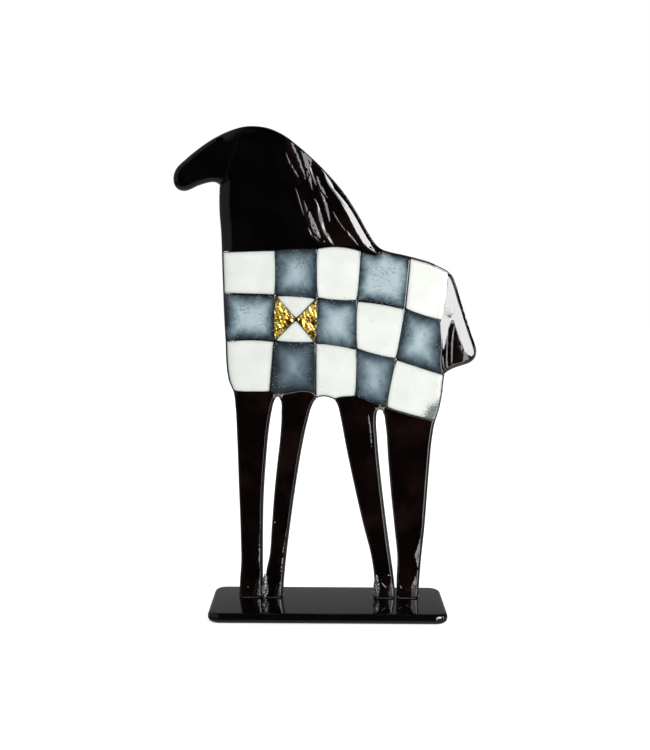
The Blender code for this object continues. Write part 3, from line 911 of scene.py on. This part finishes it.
def white_opal():
    look = Look("white_opal")
    edge = look.attribute("edge")
    ragged = look.math("ADD", edge, look.math("MULTIPLY", look.noise(1100, 3.0, 0.6), -0.5))
    body = look.mix(look.between(look.noise(70, 3.0), 0.3, 0.7), colour(0.81, 0.835, 0.78),
                    colour(0.88, 0.90, 0.855))
    towards_edge = look.ramp(look.math("MULTIPLY", look.math("ADD", ragged, 0.25), 0.2), [
        (0.0, (0.01, 0.012, 0.014)), (0.07, (0.02, 0.025, 0.03)), (0.13, (0.62, 0.65, 0.66)),
        (0.3, (0.90, 0.92, 0.92)), (0.6, (1.0, 1.0, 1.0))])
    shade = look.mix(1.0, body, towards_edge, "MULTIPLY")
    # The tone lightens two of the white tiles as painted light.
    shade = look.mix(1.0, shade, look.attribute("tone"), "MULTIPLY")
    grain = look.math("SUBTRACT", look.noise(1300, 3.0, 0.7), 0.5)
    speckle = look.math("ADD", look.attribute("shade"), look.math("MULTIPLY", grain, 2.4))
    shade = look.mix(look.math("MULTIPLY", look.between(speckle, 0.45, 0.85), 0.85), shade,
                     colour(0.07, 0.085, 0.10))
    marks = bubble_marks(look, 420, 0.32, 0.12)
    shade = look.mix(look.math("MULTIPLY", marks, 0.25), shade, colour(0.45, 0.48, 0.46))
    look.set("Base Color", shade)
    look.rough(300, 0.06, 0.06)
    look.set("IOR", 1.5)
    look.bump(look.noise(200, 3.0), 0.3, 0.00006)
    return look.material


def grey_opal():
    look = Look("grey_opal")
    edge = look.attribute("edge")
    cloud = look.math("MULTIPLY", look.math("SUBTRACT", look.noise(80, 4.0, 0.6), 0.5), 10.0)
    wisps = look.math("MULTIPLY", look.math("SUBTRACT", look.noise(420, 3.0, 0.6), 0.5), 2.0)
    depth = look.math("ADD", look.math("ADD", edge, cloud), wisps)
    depth = look.math("MULTIPLY", look.math("MULTIPLY", depth, look.attribute("tone")), 0.1)
    body = look.ramp(depth, [
        (0.0, (0.020, 0.027, 0.034)), (0.12, (0.035, 0.050, 0.060)), (0.35, (0.12, 0.17, 0.20)),
        (0.65, (0.30, 0.39, 0.43)), (1.0, (0.48, 0.58, 0.61))])
    line = look.between(edge, 0.3, 0.8)
    body = look.mix(line, colour(0.008, 0.009, 0.011), body)
    crowd = look.between(look.noise(130, 2.0), 0.45, 0.62)
    for scale, size, share in ((650, 0.42, 0.6), (1150, 0.44, 0.6)):
        away, chance = look.cells(scale)
        chosen = look.math("LESS_THAN", chance, share)
        rim = look.between(away, size * 0.35, size * 0.6)
        outside = look.between(away, size * 0.75, size)
        mark = look.math("MULTIPLY", look.math("SUBTRACT", 1.0, outside), chosen)
        mark = look.math("MULTIPLY", look.math("MULTIPLY", mark, crowd), 0.6)
        spot = look.mix(rim, colour(0.42, 0.50, 0.53), colour(0.02, 0.03, 0.04))
        body = look.mix(mark, body, spot)
    look.set("Base Color", body)
    look.rough(300, 0.07, 0.08)
    look.set("IOR", 1.5)
    look.bump(look.noise(420, 3.0), 0.35, 0.00008)
    return look.material


def gold_leaf():
    look = Look("crinkled_gold_leaf")
    folds_noise = look.noise(115, 3.0, 0.5, 1.2)
    # Dark along the creases, partly the leaf's own crease lines and partly painted shade, and dark
    # where the leaf is torn.
    crease = look.math("ABSOLUTE", look.math("SUBTRACT", folds_noise, 0.5))
    open_leaf = look.between(crease, 0.005, 0.04)
    torn = look.between(look.noise(150, 3.0, 0.6, 0.8), 0.40, 0.46)
    shine = look.mix(look.between(look.noise(260, 3.0), 0.35, 0.65), colour(0.56, 0.34, 0.02),
                     colour(1.0, 0.74, 0.17))
    tone = look.mix(look.math("MULTIPLY", open_leaf, torn), colour(0.07, 0.034, 0.005), shine)
    tone = look.mix(1.0, tone, look.attribute("tone"), "MULTIPLY")
    line = look.between(look.attribute("edge"), 0.35, 0.8)
    look.set("Base Color", look.mix(line, colour(0.025, 0.014, 0.006), tone))
    look.set("Metallic", look.math("MULTIPLY", line, 0.8))
    look.set("Roughness", 0.3)
    look.bump(look.math("ADD", open_leaf, look.math("MULTIPLY", folds_noise, 1.5)), 0.8, 0.0003)
    return look.material


def painted_arch_reflection():
    look = Look("arch_glass_painted_reflection")
    share = look.between(look.noise(500, 2.0), 0.35, 0.65)
    # Pale in the middle as a painted reflection of the light the arch tops catch from below, dark at
    # the rim.
    pale = look.mix(share, colour(0.10, 0.085, 0.078), colour(0.26, 0.235, 0.22))
    body = look.mix(look.between(look.attribute("edge"), 0.1, 0.7), colour(0.03, 0.024, 0.022), pale)
    look.set("Base Color", body)
    look.rough(400, 0.15, 0.1)
    look.set("IOR", 1.5)
    return look.material


def glue_film():
    look = Look("glue_film")
    look.set("Base Color", look.mix(look.between(look.noise(700, 3.0), 0.4, 0.6),
                                    colour(0.03, 0.016, 0.014), colour(0.12, 0.085, 0.08)))
    look.rough(600, 0.3, 0.2)
    return look.material


def droplet_painted_glint():
    look = Look("droplet_painted_glint")
    # Pale grey: a painted glint of the clear drops.
    look.set("Base Color", look.mix(look.noise(900), colour(0.35, 0.38, 0.39),
                                    colour(0.75, 0.78, 0.78)))
    look.rough(600, 0.1, 0.1)
    return look.material


def clear_adhesive():
    look = Look("clear_adhesive_bead")
    marks = bubble_marks(look, 900, 0.4, 0.5)
    look.set("Base Color", look.mix(marks, colour(0.55, 0.53, 0.50), colour(0.95, 0.94, 0.9)))
    look.rough(400, 0.08, 0.15)
    look.set("Transmission Weight", look.math("SUBTRACT", 0.85, look.math("MULTIPLY", marks, 0.6)))
    look.set("IOR", 1.42)
    look.bump(look.noise(500, 3.0), 0.6, 0.0003)
    return look.material


# ------------------------ pieces

# Drops of clear glass at the tiles' corners, pale as a painted glint: X, Z and radius in millimetres.
DROPLETS = [(-34.4, 202.3, 0.5), (-7.9, 200.9, 0.45), (17.3, 199.1, 0.35), (47.0, 194.3, 0.4),
            (-9.1, 172.4, 0.35), (42.4, 162.5, 0.45), (-34.4, 56.3, 0.4), (39.4, 21.8, 0.45)]


def make_plate(material):
    """The base plate with softly rounded edges."""
    low, high = (Vector(c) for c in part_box("base_plate"))
    size = high - low
    work = bmesh.new()
    bmesh.ops.create_cube(work, size=1.0)
    for vertex in work.verts:
        vertex.co = Vector([low[i] + size[i] * (vertex.co[i] + 0.5) for i in range(3)])
    upright = [e for e in work.edges if abs(e.verts[0].co.z - e.verts[1].co.z) > size.z / 2]
    bmesh.ops.bevel(work, geom=upright, offset=PLATE_CORNER * MM, segments=16, profile=0.5,
                    affect="EDGES")
    rims = [e for e in work.edges
            if abs(e.verts[0].co.z - e.verts[1].co.z) < 1e-7 and e.calc_face_angle(0) > 0.5]
    bmesh.ops.bevel(work, geom=rims, offset=PLATE_EDGE * MM, segments=8, profile=0.5,
                    affect="EDGES")
    bmesh.ops.recalc_face_normals(work, faces=work.faces)
    mesh = mesh_from(work, "base_plate_glass")
    mesh.set_sharp_from_angle(angle=math.radians(50))
    add_piece(mesh, material, BLACK_SLOT, "base_plate")


def make_bead(node, material, seed):
    """A lumpy bead of adhesive in the place of its CAD solid."""
    low, high = (Vector(c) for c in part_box(node))
    work = bmesh.new()
    bmesh.ops.create_icosphere(work, subdivisions=4, radius=1.0)
    middle = (low + high) / 2
    half = (high - low) / 2
    for vertex in work.verts:
        c = vertex.co.copy()
        up = (c.z + 1) / 2
        narrow = 1.0 - 0.55 * up
        lump = 1 + 0.12 * math.sin(5 * c.z + seed) * math.cos(4 * c.x + seed)
        vertex.co = Vector((middle.x + c.x * half.x * narrow * lump,
                            high.y + 0.0004 + c.y * half.y * 2 * narrow * lump * 0.75,
                            max(PLATE_TOP * MM, middle.z + c.z * half.z * 1.02)))
    add_piece(mesh_from(work, node + "_lump"), material, ADHESIVE_SLOT, node)


def flat_piece(name, outline, front, back, material, slot):
    """A small plate of the given outline, with a domed front."""
    outline = np.array(outline, dtype=float)
    filled = fill(outline, (0.15, 0.4), 0.5)
    own = distance(filled[0], segments_of(outline))
    level = front + 0.35 * (1 - quarter_round(own, 1.0))
    mesh = solid_mesh(name, filled, level, filled, np.full(len(filled[0]), back))
    store(mesh, "edge", own)
    add_piece(mesh, material, slot)


def make_arch_drop(name, middle, radius, width, material):
    """Glass that has flowed together over the narrow gap between two legs."""
    x, z = middle
    angles = np.radians(np.linspace(-8, 188, 25))
    arch = [(x + radius * math.cos(a), z + radius * math.sin(a)) for a in angles]
    rise = radius + 2.2
    crown = [(x - width, z + rise), (x - 0.45 * width, z + rise - 0.5),
             (x, z + rise + 0.6), (x + 0.45 * width, z + rise - 0.1), (x + width, z + rise)]
    flat_piece(name, arch + crown, FRONT_Y - 0.12, BACK_Y - 1.2, material, BLACK_SLOT)


def make_glue_film(node, material):
    """The thin line of adhesive under a foot."""
    outline = lowered_soles(fine_outline(node, FRONT_CORNER))
    sole = outline[outline[:, 1] < outline[:, 1].min() + 0.5]
    low, high = sole[:, 0].min() + 0.7, sole[:, 0].max() - 0.7
    corners = [(low, PLATE_TOP), (high, PLATE_TOP), (high, PLATE_TOP + 0.35), (low, PLATE_TOP + 0.35)]
    filled = fill(np.array(corners), (0.12,), 0.5)
    count = len(filled[0])
    mesh = solid_mesh(node + "_film", filled, np.full(count, FRONT_Y - 0.1), filled,
                      np.full(count, BACK_Y - 0.5))
    add_piece(mesh, material, ADHESIVE_SLOT)


def make_droplets(material):
    """Tiny round drops of clear glass at the corners of some tiles, painted pale as a glint."""
    for number, (x, z, radius) in enumerate(DROPLETS, 1):
        work = bmesh.new()
        bmesh.ops.create_icosphere(work, subdivisions=3, radius=radius * MM)
        bmesh.ops.translate(work, vec=(x * MM, FRONT_Y * MM, z * MM), verts=work.verts)
        add_piece(mesh_from(work, "glass_droplet_%d" % number), material, WHITE_SLOT)


def make_all_pieces():
    black = black_glass("black_glass_clear", colour(0.0013, 0.0010, 0.0010),
                        colour(0.0026, 0.0019, 0.0019))
    warm_black = black_glass("black_glass_warm", colour(0.0026, 0.0014, 0.0013),
                             colour(0.0085, 0.0040, 0.0036))
    satin = back_face_glass()
    white = white_opal()
    grey = grey_opal()
    gold = gold_leaf()
    adhesive = clear_adhesive()
    make_plate(plate_glass())
    for node in sorted(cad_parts):
        if node in BACK_NODES:
            back_glass(node, satin)
        elif node in ("head_front", "neck_front"):
            front_glass(node, black, BLACK_SLOT)
        elif node.endswith("_front"):
            front_glass(node, warm_black, BLACK_SLOT)
        elif node.startswith(("tile_white", "inset_white")):
            front_glass(node, white, WHITE_SLOT, TILE_CORNER)
        elif node.startswith("tile_grey"):
            front_glass(node, grey, GREY_SLOT, TILE_CORNER)
        elif node.startswith("inset_gold"):
            front_glass(node, gold, GOLD_SLOT, relief=crumple)
        elif node.startswith("mane_strand"):
            strand(node, warm_black, MANE_RISE)
        elif node.startswith("tail_strand"):
            strand(node, warm_black, TAIL_RISE)
    make_bead("adhesive_bead_fore", adhesive, 0.4)
    make_bead("adhesive_bead_hind", adhesive, 2.1)
    # The arch drops are pale as a painted reflection.
    flowed = painted_arch_reflection()
    make_arch_drop("arch_drop_fore", (-32.5, 135.2), 2.6, 4.0, flowed)
    make_arch_drop("arch_drop_hind", (32.4, 127.5), 2.4, 3.6, flowed)
    film = glue_film()
    for leg in ("foreleg_leading", "foreleg_trailing", "hindleg_leading", "hindleg_trailing"):
        make_glue_film(leg + "_front", film)
    make_droplets(droplet_painted_glint())


# ------------------------ light and camera

CAMERA_PLACE = (-0.0026, -0.687, 0.2244)
CAMERA_LENS = 52.46
CAMERA_DOWN = 5.98  # degrees below level
CAMERA_ROLL = 0.35

LIGHT_DISTANCE = 1.0
# Softboxes that only show in gloss: name, azimuth to the right of the camera and half angle in
# degrees, lowest and highest Z, and radiance.
STANDING_LIGHTS = [
    ("softbox_dim", 20, 6, -0.30, 0.68, 6.0),
    ("softbox_bright", 43.5, 17.5, 0.09, 0.86, 18.5),
    ("softbox_side", 80, 3, -0.10, 0.70, 9.0),
]
# Lights that only matt surfaces show: name, place, side and radiance. They face the chest.
MATT_LIGHTS = [
    ("key_matt", (0.36, -0.42, 0.34), 0.3, 4.2),
    ("back_matt", (0.2, 0.9, 0.6), 0.8, 1.5),
]
CHEST = (0.0, 0.0, 0.19)
GREY_ON_MATT = 0.46  # what matt surfaces get from all round


def make_camera():
    camera = bpy.data.cameras.new("camera")
    camera.lens = CAMERA_LENS
    camera.sensor_width = 36.0
    camera.clip_start = 0.01
    holder = bpy.data.objects.new("camera", camera)
    bpy.context.scene.collection.objects.link(holder)
    tilt = Matrix.Rotation(math.radians(90 - CAMERA_DOWN), 4, "X")
    roll = Matrix.Rotation(math.radians(CAMERA_ROLL), 4, "Z")
    holder.matrix_world = Matrix.Translation(CAMERA_PLACE) @ tilt @ roll
    bpy.context.scene.camera = holder


def area_light(name, place, target, width, height, radiance, gloss):
    """A soft light that faces a target. It shows in gloss or lights matt surfaces, not both."""
    light = bpy.data.lights.new(name, "AREA")
    light.shape = "RECTANGLE"
    light.size = width
    light.size_y = height
    light.energy = radiance * math.pi * width * height
    holder = bpy.data.objects.new(name, light)
    holder.location = place
    aim = Vector(target) - Vector(place)
    holder.rotation_euler = aim.to_track_quat("-Z", "Y").to_euler()
    holder.visible_camera = False
    holder.visible_glossy = gloss
    holder.visible_diffuse = not gloss
    bpy.context.scene.collection.objects.link(holder)


def make_lights():
    for name, azimuth, half_angle, low, high, radiance in STANDING_LIGHTS:
        turn = math.radians(azimuth)
        middle = (low + high) / 2
        place = (LIGHT_DISTANCE * math.sin(turn), -LIGHT_DISTANCE * math.cos(turn), middle)
        width = 2 * LIGHT_DISTANCE * math.tan(math.radians(half_angle))
        area_light(name, place, (0, 0, middle), width, high - low, radiance, True)
    for name, place, side, radiance in MATT_LIGHTS:
        area_light(name, place, CHEST, side, side, radiance, False)


# What gloss reflects of the room, apart from the lights. Each glow has a strength, and ranges on
# one or two axes over which it comes up: behind, to the left above the plate and everywhere to
# the left, below, and low to the right.
REFLECTED_SIDES = [
    (0.26, [("Y", 0.2, 0.8)]),
    (0.28, [("X", -0.15, -0.4), ("Z", -0.14, -0.04)]),
    (0.05, [("X", -0.15, -0.4)]),
    (0.45, [("Z", -0.3, -0.7)]),
    (0.30, [("X", 0.3, 0.6), ("Z", 0.02, -0.08)]),
]


def make_world():
    """Pure white to the camera, soft grey to matt surfaces and dark to reflections."""
    world = bpy.data.worlds.new("studio")
    bpy.context.scene.world = world
    world.use_nodes = True
    made = Nodes(world.node_tree)
    made.tree.nodes.clear()
    split = made.node("ShaderNodeSeparateXYZ")
    made.feed(split.inputs[0], made.node("ShaderNodeTexCoord").outputs["Generated"])
    reflected = 0.0
    for strength, ranges in REFLECTED_SIDES:
        glow = strength
        for axis, start, end in ranges:
            glow = made.math("MULTIPLY", glow, made.between(split.outputs[axis], start, end))
        reflected = made.math("MAXIMUM", reflected, glow)
    path = made.node("ShaderNodeLightPath")
    shown = made.background(GREY_ON_MATT, 1.0)
    for ray, strength in (("Is Glossy Ray", reflected), ("Is Camera Ray", 1.0)):
        either = made.node("ShaderNodeMixShader")
        made.feed(either.inputs[0], path.outputs[ray])
        made.feed(either.inputs[1], shown)
        made.feed(either.inputs[2], made.background(1.0, strength))
        shown = either.outputs[0]
    made.feed(made.node("ShaderNodeOutputWorld").inputs["Surface"], shown)


def make_floor():
    """A plain white floor."""
    work = bmesh.new()
    bmesh.ops.create_grid(work, x_segments=1, y_segments=1, size=3.0)
    mesh = mesh_from(work, "floor")
    look = Look("floor_white")
    look.set("Base Color", colour(0.9, 0.9, 0.9))
    look.set("Roughness", 0.9)
    look.set("Specular IOR Level", 0.0)
    look.set("Emission Color", colour(1, 1, 1))
    look.set("Emission Strength", 0.7)
    mesh.materials.append(look.material)
    floor = bpy.data.objects.new("floor", mesh)
    floor.location = (0, 0, CAD_BOX[0][2] - 0.0002)
    floor.visible_glossy = False
    bpy.context.scene.collection.objects.link(floor)


make_all_pieces()
make_camera()
make_lights()
make_world()
make_floor()
bpy.context.scene.view_settings.view_transform = "Standard"
